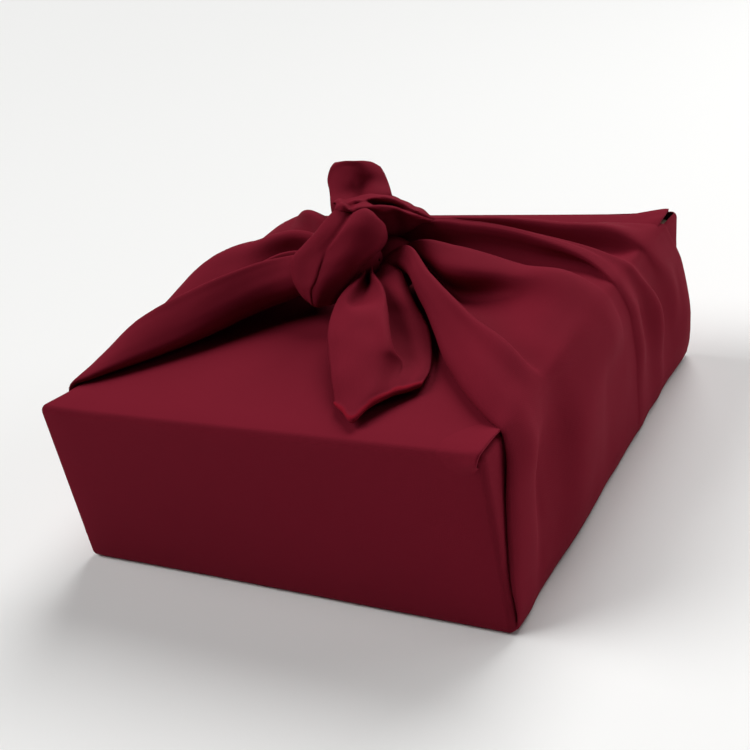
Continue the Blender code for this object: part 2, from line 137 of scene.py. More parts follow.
LEFT_EAR: Table = (
    ("turned under", -5, 12.5, -8, 9.5, -45, 3.0, -84, 1.6, -94, .9, -104, -1.4, -117, -1.0, -119),
    ("front edge", -14.5, 15.5, -21, 10.5, -63.5, 4.6, -103.5, 1.8, -110, 1.3, -121, .5, -130, .4, -131),
    ("front lip", -19, 19.5, -28, 15.5, -69, 8.2, -105, 3.6, -110, 2.6, -117, 2.4, -126, 1.8, -128),
    ("front crown", -19, 25, -27, 22.4, -65, 13.8, -99.5, 5.8, -104, 4.0, -110, 2.8, -116, 1.8, -119),
    ("middle crown", -16, 29, -21, 27.5, -57.5, 20.0, -90, 8.2, -94, 5.6, -100, 3.4, -106, 2.0, -109),
    ("rear crown", -13, 32, -16.5, 30.6, -50, 25.0, -80, 10.8, -84, 7.2, -89, 4.2, -94, 2.4, -97),
    ("roll rim", -10, 33.5, -12.5, 32.4, -43, 28.8, -70, 12.6, -73, 8.4, -78, 4.4, -83, 2.4, -85),
    ("first crease", -9, 31, -10, 28.0, -38.5, 22.0, -60, 7.0, -62, 5.4, -66, 2.4, -71, 1.4, -73),
    ("second lip", -8, 33, -8, 33.6, -31.5, 19.5, -50, 8.0, -52, 6.2, -55, 2.8, -60, 1.6, -63),
    ("pocket", -5, 28, 1, 22.0, -24, 20.0, -38, 11.5, -41, 8.2, -45, 3.6, -50, 2.0, -53),
    ("second face", -2, 31, 9, 27.0, -9, 25.5, -24, 15.0, -28, 10.8, -32, 4.8, -36, 2.4, -39),
    ("second crown", -1, 36.5, 7, 37.0, 5, 31.5, -7, 17.6, -11, 12.6, -15, 5.6, -20, 3.0, -23),
    ("second rim", 1, 37.5, 11, 38.5, 20, 29.6, 20, 15.8, 18, 12.0, 12, 5.4, 6, 2.8, 3),
    ("second crease", 3, 35, 13, 33.0, 34, 22.0, 46, 10.5, 47, 8.0, 42, 2.6, 38, 1.6, 36),
    ("third face", 5, 40, 19, 38.0, 46, 26.5, 60, 9.8, 60, 7.0, 58, 3.4, 56, 2.0, 55),
    ("third crown", 8, 43, 22.5, 44.5, 56, 28.5, 76, 9.9, 78, 6.6, 75, 4.0, 74, 2.4, 74),
    ("third back", 12, 41, 32, 40.0, 71, 23.0, 92, 8.4, 95, 6.0, 98, 3.6, 100, 2.2, 100),
    ("back lip", 15, 33, 48, 25.0, 90, 10.5, 109, 5.8, 115, 4.6, 121, 3.0, 126, 2.0, 127),
    ("back edge", 13, 20, 52, 13.0, 96, 5.0, 120, 2.4, 125, 2.0, 129, .5, 131, .4, 131),
    ("back under", 5, 13, 42, 11.0, 84, 2.8, 104, 1.6, 109, .3, 115, -1.4, 118, -1.0, 119),
)

# The tie: one row for each section, in millimetres, heights above the lid. Each point is
# where one guide line crosses the section.
BAND_COLUMNS = ("tucked left", "left edge", "strip", "strip middle", "strip lip", "fold line",
                "middle", "right", "right edge", "tucked right")
KNOT_BAND: Table = (
    ("start", (-15, 24, 36), (-20, 19, 42), (-17, 18.5, 43.5), (-13, 18.5, 43), (-10, 18.5, 42),
     (-9, 18.5, 43), (-4, 20, 42), (0, 21, 40), (3, 21.5, 38), (2, 24, 34)),
    ("top", (-19.5, 14.5, 47.6), (-15.5, 6.5, 52.6), (-11, 4, 53.8), (-7.5, 4, 53.2),
     (-4.5, 3.5, 51.4), (-1.5, 0.5, 52.8), (5, 0, 54.1), (9.5, 0, 52.1), (11, 2, 49.6), (9, 8, 45.6)),
    ("upper", (-23.5, 10, 44.2), (-19, 0.5, 49.7), (-14.5, -1, 51), (-8.5, -4, 50.4), (-5, -5.5, 48.2),
     (-1.5, -8, 49.8), (6, -7.5, 50.2), (11.5, -4.5, 47.8), (13.5, 2.5, 45.6), (10, 10, 40.2)),
    ("high", (-29, 4, 38.6), (-23.5, -6.5, 44.6), (-18, -9, 45.6), (-12.5, -10, 44.4), (-9, -11, 42.6),
     (-6.5, -13, 43.8), (3, -13.5, 43.8), (10.5, -9.5, 41.6), (14.5, -2.5, 40.4), (9.5, 9.5, 33.6)),
    ("middle", (-35, -1, 33), (-30, -11, 39), (-24, -14, 39.8), (-18.5, -15.5, 38.8),
     (-13.5, -15.5, 37.6), (-12.5, -16, 37), (-1, -19, 37.6), (7.5, -15.5, 35.6), (11.5, -7.5, 35),
     (5, 4.5, 28)),
    ("lower", (-41.5, -5.5, 27), (-35.5, -16, 33.5), (-29.5, -18.5, 34.2), (-22.5, -20, 33.2),
     (-14.5, -22.5, 32.4), (-14.1, -22, 31.9), (-6, -22, 31.6), (2.5, -18.5, 30), (5.5, -11, 29.6),
     (-0.5, -1.5, 23)),
    ("bent", (-42.5, -8, 21.6), (-35, -20, 27.6), (-29.5, -23, 28), (-22.5, -25, 27.4),
     (-15.5, -27.5, 26.8), (-15.1, -27, 26.3), (-9.5, -26.5, 26), (-2.5, -21.5, 24.6),
     (0, -15.5, 24.2), (-6, -5.5, 17.6)),
    ("bottom", (-39, -11.5, 16.5), (-31, -24, 22), (-26, -27.5, 22.5), (-22, -29, 22.1),
     (-18, -30, 21.7), (-17.7, -29.6, 21.2), (-12.5, -29.5, 20.5), (-8, -26, 19.3), (-5, -22.5, 18.5),
     (-10, -13.5, 13.5)),
    ("tip", (-36, -13, 12.5), (-29, -23.5, 16), (-23.5, -28.5, 16.1), (-21, -29.5, 15.5),
     (-18, -31.5, 15.1), (-17.8, -31.1, 14.7), (-15, -31, 14.1), (-12.5, -27.5, 13.7),
     (-10, -25, 13.1), (-12.5, -17, 10.5)),
    ("under", (-28, -8, 12), (-31, -13, 12), (-29, -13.5, 11), (-27, -14, 10), (-25, -14, 9.5),
     (-24, -14, 9), (-21, -15, 8.5), (-18, -15, 8), (-16, -14, 7.5), (-15, -12, 7.5)),
)
RIDGE_COLUMNS = ("back", "crest", "slit", "front ridge", "front turned under", "gathered")
TOP_RIDGE: Table = (
    ("left end", (-29, 21.5, 49), (-22, 14, 54), (-17, 9, 55.5), (-15, 4.5, 54.5), (-22, 9.5, 49),
     (-28, 18, 44)),
    ("lump", (-29.5, 30.5, 50), (-15.5, 11.5, 56), (-8.5, 4, 56.8), (-7.5, 1.5, 55), (-15.5, 8, 49),
     (-20.5, 16.5, 44)),
    ("left", (-24.5, 29.5, 50), (-13.5, 14, 53.5), (-10.5, 11.5, 52.5), (-5, 3, 53.5),
     (-12.5, 11.5, 48), (-16, 16.5, 44)),
    ("pinch", (-22, 32.5, 49), (-7, 13, 55), (-6.5, 11.5, 53), (0, 2.5, 54.6), (-4.5, 9.5, 48.5),
     (-9.5, 16, 43)),
    ("middle", (-18, 37, 49), (-5, 18.5, 54), (-2.5, 16, 52.6), (3.5, 7, 54.2), (3.5, 10, 48.5),
     (-1, 15.5, 42)),
    ("slit left", (-12.5, 41, 48), (3, 18, 54.4), (-0.5, 24, 48.6), (9.5, 10, 52.4), (6, 16.5, 45),
     (-1.5, 24.5, 26)),
    ("slit right", (-4.5, 44.5, 46), (10.5, 21, 52.2), (8, 27, 46.6), (15.5, 15.5, 49.6), (9, 25, 41),
     (3, 28, 19)),
    ("shoulder", (1.5, 46.5, 42), (16, 25, 47.6), (16.5, 23.5, 45.6), (21, 16.5, 46.4), (13, 27, 37),
     (8.5, 32.5, 16)),
    ("before tip", (8, 48, 38), (22, 27.5, 42.8), (22, 27.5, 41), (24.5, 23.5, 41.2), (17.5, 32, 33),
     (13, 40, 14)),
    ("tip", (16, 50.5, 31), (25.5, 38, 34.2), (26, 37.5, 33.5), (26, 36, 33), (17.5, 44.5, 26),
     (19, 45.5, 13)),
)
TAIL_COLUMNS = ("left edge", "left face", "hollow", "slit", "right rim", "tucked under", "inner panel",
                "outer panel", "right edge")
FRONT_TAIL: Table = (
    ("knot", (-4.5, -4, 27), (-1, -4, 27.5), (1, -1, 26), (3, 0, 25), (7, -2, 27), (8, 1, 25),
     (10, 2.5, 25), (12, 4, 24.5), (14.5, 5, 22)),
    ("neck", (1, -7.5, 24), (3.5, -8, 25.5), (3, -5.5, 22), (3.5, -4.5, 20.5), (8, -8, 25.5),
     (5, 0, 22), (8.5, 2, 24.5), (14.5, 2.5, 24.2), (21.5, -2, 21.5)),
    ("pinch", (0.5, -18.5, 21), (6, -20.5, 22.5), (7, -17, 19.8), (9.5, -17, 18.2), (21, -23, 23.5),
     (18, -16.5, 19.4), (21, -14, 20), (26, -13, 20), (29.5, -11, 16.5)),
    ("hollow", (0, -30.5, 18.5), (6.5, -35, 20.2), (12, -35.5, 17.8), (17, -33, 17.6), (29, -33.5, 22),
     (23, -25, 15.6), (27, -24.5, 15.9), (34, -24.5, 16.2), (38.5, -22, 13)),
    ("lip", (3, -44, 17), (12, -46.5, 19.8), (21.5, -51.5, 21.6), (28, -49.5, 21.8), (37.5, -48, 20.5),
     (27.5, -33.5, 11.2), (33, -33, 10.6), (41, -32, 11.2), (46.5, -29.5, 9)),
    ("swell", (10.5, -62, 15), (20.5, -66, 18), (30.5, -67.5, 19.5), (38, -66, 19.5), (47.5, -65, 19),
     (34.5, -46.5, 6.8), (39.5, -43.5, 6.2), (48, -43.5, 7.6), (55, -40, 6.4)),
    ("middle", (19, -76.5, 12), (29.5, -81, 15), (39, -82, 16.5), (47, -80.5, 16.8), (55, -76, 15),
     (46, -63, 5.4), (51, -60.5, 5), (58, -58.5, 5.4), (62.5, -53.5, 3.8)),
    ("low", (30.5, -95, 8.5), (40, -99, 11.5), (48.5, -97.5, 12.3), (55, -92.5, 11.6),
     (58.5, -78, 8.4), (59.5, -77.5, 6.6), (64, -75, 5.4), (67.5, -73, 4.8), (69.5, -70, 3.2)),
    ("before hem", (37.5, -105.5, 4.8), (45.5, -110.5, 6.6), (54, -114, 7), (58.5, -108, 8),
     (62.5, -96.5, 7), (64.5, -92, 6.2), (67, -87.5, 5.2), (70, -84.5, 4.8), (72.5, -80, 3.6)),
    ("hem", (41.4, -111.2, 3.2), (49, -117.5, 4.2), (57.5, -123.7, 4), (59.9, -113.2, 4.9),
     (64.2, -103.1, 5.2), (67, -97.3, 4.7), (69.3, -94.5, 4.3), (71.5, -91.1, 3.9), (73.2, -87.7, 3.3)),
)
BACK_COLUMNS = ("left edge", "left panel", "middle", "valley", "right panel", "right edge")
BACK_TAIL: Table = (
    ("knot", (-22, 10, 38), (-17, 12, 37), (-9, 16, 36), (-6, 16, 35), (-1, 18, 35), (3, 20, 34)),
    ("base", (-24, 14, 52), (-18, 13.5, 51.5), (-9.5, 15.5, 50), (-10.5, 22, 48), (-2.5, 25, 47.5),
     (2, 35.5, 45)),
    ("rise", (-33, 29, 54.5), (-25.5, 25.5, 55), (-18.5, 28, 53.5), (-14, 31, 51.6),
     (-4.5, 30.5, 52.2), (2, 36, 50)),
    ("upper", (-38, 37.5, 59.5), (-30, 34.5, 60.5), (-20, 33.5, 59.5), (-16, 38, 57.2),
     (-9, 40.5, 56.2), (-5, 46, 53.4)),
    ("bend", (-36.5, 40, 64.5), (-30, 40, 65.6), (-21, 39, 65), (-15.5, 40, 62.8), (-11.5, 46, 60.6),
     (-9, 50, 57.8)),
    ("top", (-36, 43.5, 66), (-26.5, 39.5, 68), (-20, 39.5, 67.6), (-16.5, 43, 66),
     (-14.5, 49.5, 63.2), (-12, 52.5, 60)),
    ("over", (-37, 49, 62.5), (-29.5, 44.5, 64.5), (-21, 46.5, 63), (-21.5, 52, 60.5), (-21, 58, 57.5),
     (-19, 60, 54.5)),
    ("hanging", (-40, 53.5, 57), (-32.5, 49, 59), (-24, 51, 57.5), (-24.5, 56.5, 55), (-24, 62.5, 52),
     (-22, 64.5, 49)),
    ("hem", (-41, 55, 49), (-33.5, 50.5, 51), (-25, 52.5, 49.5), (-25.5, 58, 47), (-25, 64, 44),
     (-23, 66, 41)),
)
# The front cloth folded over the right front corner of the lid; millimetres from the
# middle of the floor.
PLEAT_COLUMNS = ("under", "rise", "middle", "lip", "edge")
CORNER_PLEAT: Table = (
    ("tip", (112, -104, 93), (116, -105, 93.5), (120, -106, 93.9), (123, -107, 94.1),
     (124.5, -108, 94.1)),
    ("upper", (102, -113, 93), (110, -114, 93.9), (117.5, -115.5, 94.8), (123, -116.5, 95.7),
     (124.6, -117, 95.8)),
    ("middle", (96, -120, 93), (106, -121, 93.9), (116, -122.5, 95.1), (123, -123.5, 96.5),
     (124.9, -123.8, 96.6)),
    ("lower", (94, -127, 92.9), (105, -128, 93.9), (115.5, -129.3, 95.2), (123, -130.2, 96.8),
     (125, -130.4, 96.8)),
    ("edge", (94, -131.6, 92), (105, -133, 93), (115, -134.5, 94.4), (122.4, -136, 96.1),
     (124.7, -136.4, 96.1)),
    ("front", (97, -132.4, 87.5), (106, -133.5, 88.8), (114.5, -134.9, 90.4), (121.2, -136.9, 92),
     (123.2, -137.4, 92)),
    ("below", (100, -132.1, 80), (107, -132.7, 81.5), (114, -133.4, 83.5), (119.5, -133.8, 86),
     (121.5, -133, 87.4)),
    ("foot", (102, -131.6, 70), (108, -131.8, 71), (114, -132, 73), (118.5, -132.2, 76),
     (121, -132.2, 79)),
)
# The cloth folded over the right back corner of the lid, in the same way.
BACK_PLEAT: Table = (
    ("tip", (112, 92, 93), (116, 93, 93.4), (120, 94, 93.8), (123, 95, 94), (124.8, 96, 94)),
    ("front", (102, 101, 93), (109, 101.5, 93.8), (117, 102.5, 94.7), (123, 103.5, 95.6),
     (125.4, 104, 95.6)),
    ("rise", (97, 109, 93), (106, 109.5, 94.1), (115.5, 110.5, 95.8), (123.2, 112, 98),
     (126, 112.5, 98.2)),
    ("crest", (95, 117, 93), (104, 117.5, 94.2), (114, 118, 95.9), (123, 118.5, 98),
     (126, 119, 98.4)),
    ("bend", (95, 125, 93), (103, 125.6, 94.2), (112.5, 126, 95.8), (122, 126, 97.8),
     (125.4, 126, 98.2)),
    ("back", (97, 131.5, 92), (104, 132.6, 93), (111.5, 133.2, 94.2), (120.4, 133.2, 95.6),
     (123.6, 132.8, 95.8)),
    ("foot", (102, 132, 76), (107, 132.6, 79), (112, 132.8, 82), (117.6, 132.8, 85),
     (120.6, 132.6, 87)),
)
# How far each ear's folds shift in y where they enter the knot, in millimetres.
CORE_Y = {Side.RIGHT: 1.0, Side.LEFT: 4.0}
# Where an ear's folds are read, in millimetres: x over the lid, and height on the side.
EAR_X = {"core": 7, "knot": 20, "near": 45, "mid": 80, "edge": 117, "corner": 125}
SIDE_Z = {"high": 62, "low": 25, "foot": 7, "turn": 2.2}


@dataclass(frozen=True)
class Ripple:
    """The small unevenness of soft cloth.

    height is its most height and size the distance between its high places, in metres.
    seed says which unevenness.
    """

    height: float
    size: float
    seed: float


@dataclass(frozen=True)
class CornerSwell:
    """Cloth turned in at a corner of the box, which fills the corner out.

    right and back, 1 or -1, say which corner. reach and push are in metres. The push fades
    towards the floor by the power fade, its upward part also by lift_fade.
    """

    right: int
    back: int
    reach: float
    push: Point
    fade: int = 0
    lift_fade: int = 0

    def at(self, point: Vector, size: WrapSize) -> Vector:
        """How far the cloth moves at a point.

        Args:
            point: the point, in metres.
            size: sizes of the wrapped box.

        Returns:
            The move, in metres.
        """
        gap = math.hypot(point.x - self.right * size.width / 2,
                         point.y - self.back * size.depth / 2) / self.reach
        high = max(point.z / size.height, 0)
        x, y, z = self.push
        push = Vector((x, y, z * high ** self.lift_fade))
        return push * high ** self.fade * math.exp(-gap * gap)


SWELLS = (
    CornerSwell(-1, -1, 0.016, (-0.0036, -0.0004, 0.0014), lift_fade=6),
    CornerSwell(1, 1, 0.022, (0.0038, 0.0012, 0.0012), fade=3),
)


def placed(name: str, data: bpy.types.ID) -> bpy.types.Object:
    """Put a new object with this data in the scene.

    Args:
        name: the object's name.
        data: its mesh, lamp or camera.

    Returns:
        The object.
    """
    made = bpy.data.objects.new(name, data)
    bpy.context.collection.objects.link(made)
    return made


def corner_swell(point: Vector, size: WrapSize) -> Vector:
    """How far the turned-in cloth at the corners moves a point."""
    return sum((swell.at(point, size) for swell in SWELLS), Vector((0, 0, 0)))


class Guide:
    """Smooth curves and surfaces through rows of guide points."""

    @staticmethod
    def through(knots: Sequence[float], rows: np.ndarray, samples: Sequence[float]) -> np.ndarray:
        """Read a smooth curve through rows of values.

        Args:
            knots: where each row lies along the curve.
            rows: the values, one row for each knot.
            samples: where the curve is read.

        Returns:
            The values at the samples.
        """
        t, v = np.asarray(knots, float), np.asarray(rows, float)
        h = np.diff(t)
        slope = np.diff(v, axis=0) / h.reshape(-1, *([1] * (v.ndim - 1)))
        tangent = np.empty_like(v)
        tangent[0], tangent[-1] = slope[0], slope[-1]
        for i in range(1, len(t) - 1):
            tangent[i] = (slope[i - 1] * h[i] + slope[i] * h[i - 1]) / (h[i - 1] + h[i])
        out = []
        for s in samples:
            i = int(min(max(np.searchsorted(t, s) - 1, 0), len(t) - 2))
            u = (s - t[i]) / h[i]
            fall, rise = 2 * u ** 3 - 3 * u ** 2 + 1, 3 * u ** 2 - 2 * u ** 3
            leave, arrive = u ** 3 - 2 * u ** 2 + u, u ** 3 - u ** 2
            out.append(fall * v[i] + leave * h[i] * tangent[i]
                       + rise * v[i + 1] + arrive * h[i] * tangent[i + 1])
        return np.array(out)

    @staticmethod
    def spans(knots: np.ndarray, step: float, most: int) -> list[float]:
        """Cut the spans between knots into pieces of about one length.

        Args:
            knots: places along the curve.
            step: wanted length of a piece, in the knots' own measure.
            most: most pieces in one span.

        Returns:
            The samples.
        """
        at = []
        for a, b in zip(knots[:-1], knots[1:]):
            n = int(min(max(round((b - a) / step), 2), most))
            at += [a + (b - a) * k / n for k in range(n)]
        return at + [float(knots[-1])]

    @classmethod
    def surface(cls, lines: np.ndarray, step: float, most: tuple[int, int] = (12, 12)) -> np.ndarray:
        """A surface through guide lines that run side by side.

        Args:
            lines: guide line, place along it, xyz, in metres.
            step: wanted mesh size, in metres.
            most: most pieces along and across one span.

        Returns:
            The grid of points: across, along, xyz.
        """
        run = np.linalg.norm(np.diff(lines, axis=1), axis=2).mean(axis=0)
        along = np.concatenate([[0], np.cumsum(run)])
        gap = np.linalg.norm(np.diff(lines, axis=0), axis=2)
        across = np.concatenate([[0], np.cumsum(np.sqrt(gap).mean(axis=1))])
        scale = float(gap.mean() / np.sqrt(gap).mean())
        fine = cls.through(along, lines.transpose(1, 0, 2), cls.spans(along, step, most[0]))
        return cls.through(across, fine.transpose(1, 0, 2),
                           cls.spans(across, step / scale, most[1]))


@dataclass
class Patch:
    """One stretch of the cloth as a grid of points, before it gets its thickness."""

    name: str
    points: np.ndarray
    turn: bool = False
    hem: np.ndarray = field(init=False)
    least_bead: float = 0.35

    def __post_init__(self) -> None:
        """Start with no hem."""
        self.hem = np.zeros(self.points.shape[:2])

    def normals(self) -> np.ndarray:
        """Unit normals of the grid.

        Returns:
            The normals, pointing out of the cloth's upper face.
        """
        across, along = np.gradient(self.points, axis=0), np.gradient(self.points, axis=1)
        n = np.cross(along, across)
        n /= np.maximum(np.linalg.norm(n, axis=2, keepdims=True), 1e-12)
        return -n if self.turn else n

    def lengths(self, axis: int) -> np.ndarray:
        """Measure the surface from one of its borders.

        Args:
            axis: 0 to measure from the first row, 1 from the first column.

        Returns:
            Each point's length over the surface.
        """
        first = self.points[:, :1] if axis else self.points[:1]
        steps = np.diff(self.points, axis=axis, prepend=first)
        return np.cumsum(np.linalg.norm(steps, axis=2), axis=axis)

    def ripple(self, ripple: Ripple) -> None:
        """Give the surface the small unevenness of soft cloth.

        Args:
            ripple: the unevenness.
        """
        n = self.normals()
        shift = Vector((ripple.seed, 0, 0))
        h = np.array([noise.noise(Vector(p / ripple.size) + shift)
                      for p in self.points.reshape(-1, 3)])
        h = h.reshape(self.points.shape[:2]) * ripple.height
        self.points = self.points + n * h[..., None]

    def hem_end(self, finish: SheetFinish, share: float = 1.0) -> None:
        """Mark the hem along the last section.

        Args:
            finish: the hem's width.
            share: how much of the full hem it has.
        """
        run = self.lengths(axis=1)
        u = np.clip((run[:, -1:] - run) / finish.hem_width, 0, 1)
        bead = np.sqrt(np.clip(1 - (2 * u - 1) ** 2, 0, 1))
        self.hem = np.where(u < 1, np.maximum(bead, self.least_bead), 0) * share

    def flat_places(self) -> np.ndarray:
        """Each point's place on the flat cloth, in metres, for the weave."""
        return np.stack([self.lengths(axis=1), self.lengths(axis=0)], axis=2)


class ClothMesh:
    """Gathers the patches of the cloth in one mesh with a thickness.

    The weave of each patch starts weave_shift metres after that of the last.
    """

    weave_shift: float = 0.41

    def __init__(self, name: str, finish: SheetFinish) -> None:
        """Start an empty mesh.

        Args:
            name: the piece's name.
            finish: thickness of the sheet and its hem.
        """
        self.name, self.finish = name, finish
        self.bm = bmesh.new()
        self.weave = self.bm.loops.layers.uv.new("weave")
        self.weight = self.bm.verts.layers.deform.new()
        self.hem = self.bm.verts.layers.float.new("hem")
        self.thin = finish.cloth / finish.hem
        self.origin = 0.0

    def add(self, patch: Patch) -> None:
        """Lay one patch into the mesh.

        Args:
            patch: the patch.
        """
        rows, columns = patch.points.shape[:2]
        made = bmesh.ops.create_grid(self.bm, x_segments=columns - 1, y_segments=rows - 1, size=1.0)
        verts = sorted(made["verts"], key=lambda v: (round(v.co.y, 6), round(v.co.x, 6)))
        flat = patch.flat_places().reshape(-1, 2)
        points, hem = patch.points.reshape(-1, 3), patch.hem.reshape(-1)
        at = {}
        for k, v in enumerate(verts):
            v.co = Vector(points[k])
            self.mark(v, float(hem[k]))
            at[v] = (float(flat[k][0]) + self.origin, float(flat[k][1]))
        faces = {f for v in verts for f in v.link_faces}
        for f in faces:
            f.smooth = True
            for loop in f.loops:
                loop[self.weave].uv = at[loop.vert]
        if patch.turn:
            bmesh.ops.reverse_faces(self.bm, faces=list(faces))
        self.origin += self.weave_shift
        log.info("%s: %d faces", patch.name, len(faces))

    def mark(self, vert: bmesh.types.BMVert, hem: float) -> None:
        """Store how much of the hem's thickness a point has, from 0 to 1."""
        vert[self.weight][0] = self.thin + (1 - self.thin) * hem
        vert[self.hem] = hem

    def finished(self, material: bpy.types.Material) -> bpy.types.Object:
        """Turn the mesh into the piece.

        Args:
            material: the cloth's material.

        Returns:
            The piece, with its thickness as a modifier.
        """
        mesh = bpy.data.meshes.new(self.name)
        self.bm.to_mesh(mesh)
        self.bm.free()
        piece = placed(self.name, mesh)
        piece.vertex_groups.new(name="thickness")
        mesh.materials.append(material)
        solid = piece.modifiers.new("Thickness", "SOLIDIFY")
        solid.thickness, solid.offset = self.finish.hem, 0.0
        solid.vertex_group = "thickness"
        solid.use_even_offset = False
        return piece


def guided(name: str, columns: tuple[str, ...], table: Table, floor: float, step: float) -> Patch:
    """A surface through a table of sections.

    Args:
        name: the patch's name.
        columns: names of the guide lines that every section crosses.
        table: sections of points, one for each guide line, in millimetres.
        floor: the height the table counts from, in metres.
        step: wanted mesh size, in metres.

    Returns:
        The patch.
    """
    if any(len(row) != len(columns) + 1 for row in table):
        raise ValueError(f"{name}: a section doesn't have {len(columns)} points")
    lines = np.array([row[1:] for row in table], float) * MM
    lines[:, :, 2] += floor
    return Patch(name, Guide.surface(lines.transpose(1, 0, 2), step))


@dataclass
class Wrap:
    """The cloth drawn tight over the box: a shell, two flaps and two folded corners.

    Lengths are in metres. Faces less than lid_depth below the top belong to the lid, or
    less than back_lid_depth in the strip at the back, but rim_share of its rounded edge
    doesn't. flap_hem and back_flap_hem are shares of the full hem.
    """

    size: WrapSize = WrapSize()
    finish: SheetFinish = SheetFinish()
    mesh_step: float = 0.011
    flap_step: float = 0.009
    pleat_step: float = 0.0016
    lid_depth: float = 0.0022
    back_strip: float = 0.02
    back_lid_depth: float = 0.0012
    rim_share: float = 0.4
    hem_reach: float = 0.03
    flap_hem: float = 0.4
    back_flap_hem: float = 0.3
    back_flap_drop: float = 0.0021
    back_flap_lines: int = 17
    back_flap_most: tuple[int, int] = (8, 2)
    sag: float = 0.0005
    sag_size: tuple[float, float] = (0.09, 0.06)
    sag_seed: float = 3.1
    sag_fade: int = 8
    sag_margin: float = 0.004

    def build(self, cloth: ClothMesh) -> None:
        """Lay the shell, the back flap and the folded corners.

        Args:
            cloth: the cloth's mesh.
        """
        self.shell(cloth)
        cloth.add(self.back_flap())
        for name, table in (("corner pleat", CORNER_PLEAT), ("back corner pleat", BACK_PLEAT)):
            cloth.add(guided(name, PLEAT_COLUMNS, table, 0.0, self.pleat_step))

    def shell(self, cloth: ClothMesh) -> None:
        """Bottom, front, back and sides, with the front flap on top.

        Args:
            cloth: the cloth's mesh.
        """
        s, inset = self.size, self.finish.cloth / 2
        half = Vector((s.width / 2 - inset, s.depth / 2 - inset, s.height / 2 - inset))
        centre = Vector((0, 0, s.height / 2))
        bm = bmesh.new()
        bmesh.ops.create_cube(bm, size=2.0)
        for v in bm.verts:
            v.co = Vector((a * b for a, b in zip(half, v.co))) + centre
        bmesh.ops.bevel(bm, geom=bm.edges[:], offset=s.edge_radius, affect="EDGES", segments=5,
                        profile=0.5, material=-1)
        for axis in range(3):
            reach = half[axis] - s.edge_radius
            count = max(int(2 * reach / self.mesh_step), 1)
            for k in range(1, count):
                point, normal = Vector(centre), Vector((0, 0, 0))
                point[axis] += -reach + 2 * reach * k / count
                normal[axis] = 1.0
                self.cut(bm, point, normal)
        self.taper(bm, half)
        for v in bm.verts:
            v.co += self.settle(v.co, half, centre)
        bmesh.ops.recalc_face_normals(bm, faces=bm.faces[:])
        self.merge(cloth, bm)

    @staticmethod
    def cut(bm: bmesh.types.BMesh, point: Vector, normal: Vector) -> None:
        """Cut every face that a plane crosses."""
        bmesh.ops.bisect_plane(bm, geom=bm.verts[:] + bm.edges[:] + bm.faces[:], plane_co=point,
                               plane_no=normal, dist=1e-6)

    def taper(self, bm: bmesh.types.BMesh, half: Vector) -> None:
        """Cut the front flap to its outline and drop what is outside it.

        Args:
            bm: the shell's mesh.
            half: half sizes of the shell.
        """
        s, hem = self.size, self.finish.hem_width
        edge = half.x - s.edge_radius
        for side in (-1, 1):
            a = Vector((side * edge, s.flap_full, 0))
            b = Vector((side * s.flap_tip_half, s.flap_tip, 0))
            across = (b - a).normalized()
            normal = Vector((-across.y, across.x, 0)) * side
            for inner in HEM_CUTS:
                self.cut(bm, a + normal * inner * -hem, normal)
        for inner in HEM_CUTS:
            self.cut(bm, Vector((0, s.flap_tip - inner * hem, 0)), Vector((0, 1, 0)))
        outside = [f for f in bm.faces if self.outside(f.calc_center_median(), half) > 1e-5]
        bmesh.ops.delete(bm, geom=outside, context="FACES")

    def outside(self, at: Vector, half: Vector) -> float:
        """How far a place on the lid is outside the front flap.

        Args:
            at: the place.
            half: half sizes of the shell.

        Returns:
            The distance in metres, negative on the flap, or OFF_LID off the lid.
        """
        s = self.size
        at_back = at.y > half.y - self.back_strip
        if (at.z < s.height - self.lid_depth
                or at_back and at.z < s.height - self.back_lid_depth):
            return OFF_LID
        rim = s.edge_radius * self.rim_share
        if at.y > half.y - rim or abs(at.x) > half.x - rim:
            return OFF_LID
        a = Vector((half.x - s.edge_radius, s.flap_full))
        along = (Vector((s.flap_tip_half, s.flap_tip)) - a).normalized()
        gap = (Vector((abs(at.x), at.y)) - a).dot(Vector((along.y, -along.x)))
        return max(gap, at.y - s.flap_tip)

    def settle(self, at: Vector, half: Vector, centre: Vector) -> Vector:
        """Small sags and swells of the cloth over the box.

        Args:
            at: a point of the shell.
            half: half sizes of the shell.
            centre: middle of the shell.

        Returns:
            How far the point moves.
        """
        r = at - centre
        inside = abs(r.x) < half.x - self.sag_margin
        front = max(-r.y / half.y, 0) ** self.sag_fade if inside else 0.0
        across, up = self.sag_size
        wave = noise.noise(Vector((at.x / across, self.sag_seed, at.z / up))) * self.sag
        return Vector((0, -front * wave, 0)) + corner_swell(at, self.size)

    def merge(self, cloth: ClothMesh, bm: bmesh.types.BMesh) -> None:
        """Copy the shell into the cloth, with its weave and its hem.

        Args:
            cloth: the cloth's mesh.
            bm: the shell's mesh, which is freed.
        """
        s, made = self.size, {}
        for v in bm.verts:
            made[v] = cloth.bm.verts.new(v.co)
            gap = self.outside(v.co, Vector((s.width / 2, s.depth / 2, 0)))
            u = -gap / self.finish.hem_width
            on = gap > OFF_LID / 2 and v.co.y > s.flap_full - self.hem_reach
            bead = math.sqrt(max(1 - (2 * u - 1) ** 2, 0)) if 0 <= u < 1 and on else 0.0
            cloth.mark(made[v], bead * self.flap_hem)
        for f in bm.faces:
            face = cloth.bm.faces.new([made[v] for v in f.verts])
            face.smooth = True
            n = f.normal
            axis = max(range(3), key=lambda k: abs(n[k]))
            keep = [k for k in range(3) if k != axis]
            for loop in face.loops:
                loop[cloth.weave].uv = (loop.vert.co[keep[0]], loop.vert.co[keep[1]])
        log.info("shell: %d faces", len(bm.faces))
        bm.free()

